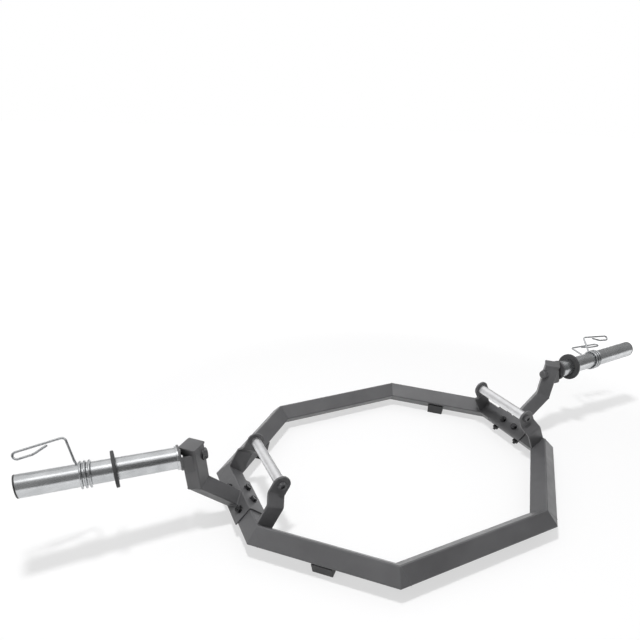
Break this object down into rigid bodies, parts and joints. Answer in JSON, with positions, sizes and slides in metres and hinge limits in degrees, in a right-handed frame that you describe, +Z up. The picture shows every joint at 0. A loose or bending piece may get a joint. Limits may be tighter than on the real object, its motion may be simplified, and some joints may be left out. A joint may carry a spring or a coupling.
{
  "type": "hex trap bar",
  "caption": "Octagonal trap bar with square tubes on edge, raised plate sleeves on cranked arms, side handles, rubber discs and spring collars.",
  "frame": {"origin": "on the floor under the middle of the frame, at the bottom of the feet", "axes": "+X along the right sleeve, +Y to the back, +Z up"},
  "size_m": [1.8324, 0.8214, 0.3171],
  "materials": {
    "grey_powder_coat": "satin textured powder coat, dark grey",
    "foot_rubber": "moulded black rubber",
    "disc_rubber": "moulded black rubber",
    "collar_wire": "plated spring wire",
    "sleeve_plating": "bright zinc plating with turning marks",
    "handle_plating": "bright zinc plating, fine knurl",
    "plug_plastic": "black moulded plastic",
    "black_fasteners": "black oxide",
    "bare_steel": "turned"
  },
  "bodies": {
    "frame": {"back_left_foot": "foot_rubber", "back_left_tube": "grey_powder_coat", "back_right_foot": "foot_rubber", "back_right_tube": "grey_powder_coat", "back_tube": "grey_powder_coat", "front_left_foot": "foot_rubber", "front_left_tube": "grey_powder_coat", "front_right_foot": "foot_rubber", "front_right_tube": "grey_powder_coat", "front_tube": "grey_powder_coat", "left_arm_cap": "grey_powder_coat", "left_back_bracket": "grey_powder_coat", "left_front_bracket": "grey_powder_coat", "left_handle_bolts": "grey_powder_coat", "left_handle_plugs": "bare_steel", "left_handle_tube": "handle_plating", "left_head_cheeks": "grey_powder_coat", "left_lower_arm": "grey_powder_coat", "left_saddle": "grey_powder_coat", "left_saddle_bolts": "black_fasteners", "left_saddle_nuts": "black_fasteners", "left_saddle_washers": "black_fasteners", "left_side_tube": "grey_powder_coat", "left_sleeve_bolt": "grey_powder_coat", "left_sleeve_core": "bare_steel", "left_sleeve_end_plug": "plug_plastic", "left_sleeve_flange": "grey_powder_coat", "left_sleeve_shoulder": "sleeve_plating", "left_sleeve_tube": "sleeve_plating", "left_sleeve_washer": "grey_powder_coat", "left_upper_arm": "grey_powder_coat", "right_arm_cap": "grey_powder_coat", "right_back_bracket": "grey_powder_coat", "right_front_bracket": "grey_powder_coat", "right_handle_bolts": "grey_powder_coat", "right_handle_plugs": "bare_steel", "right_handle_tube": "handle_plating", "right_head_cheeks": "grey_powder_coat", "right_lower_arm": "grey_powder_coat", "right_saddle": "grey_powder_coat", "right_saddle_bolts": "black_fasteners", "right_saddle_nuts": "black_fasteners", "right_saddle_washers": "black_fasteners", "right_side_tube": "grey_powder_coat", "right_sleeve_bolt": "grey_powder_coat", "right_sleeve_core": "bare_steel", "right_sleeve_end_plug": "plug_plastic", "right_sleeve_flange": "grey_powder_coat", "right_sleeve_shoulder": "sleeve_plating", "right_sleeve_tube": "sleeve_plating", "right_sleeve_washer": "grey_powder_coat", "right_upper_arm": "grey_powder_coat"},
    "left_collar": {"left_collar": "collar_wire"},
    "right_collar": {"right_collar": "collar_wire"},
    "left_disc": {"left_stop_disc": "disc_rubber"},
    "right_disc": {"right_stop_disc": "disc_rubber"}
  },
  "joints": [
    {"name": "left_collar_slide", "type": "slide", "parent": "frame", "child": "left_collar", "axis": [-0.9978, 0, 0.0663], "range_m": [-0.022, 0.104]},
    {"name": "right_collar_slide", "type": "slide", "parent": "frame", "child": "right_collar", "axis": [0.9978, 0, 0.0663], "range_m": [-0.0535, 0.145]},
    {"name": "left_disc_slide", "type": "slide", "parent": "frame", "child": "left_disc", "axis": [-0.9978, 0, 0.0663], "range_m": [-0.1228, 0.015]},
    {"name": "right_disc_slide", "type": "slide", "parent": "frame", "child": "right_disc", "axis": [0.9978, 0, 0.0663], "range_m": [-0.0378, 0.03]}
  ]
}
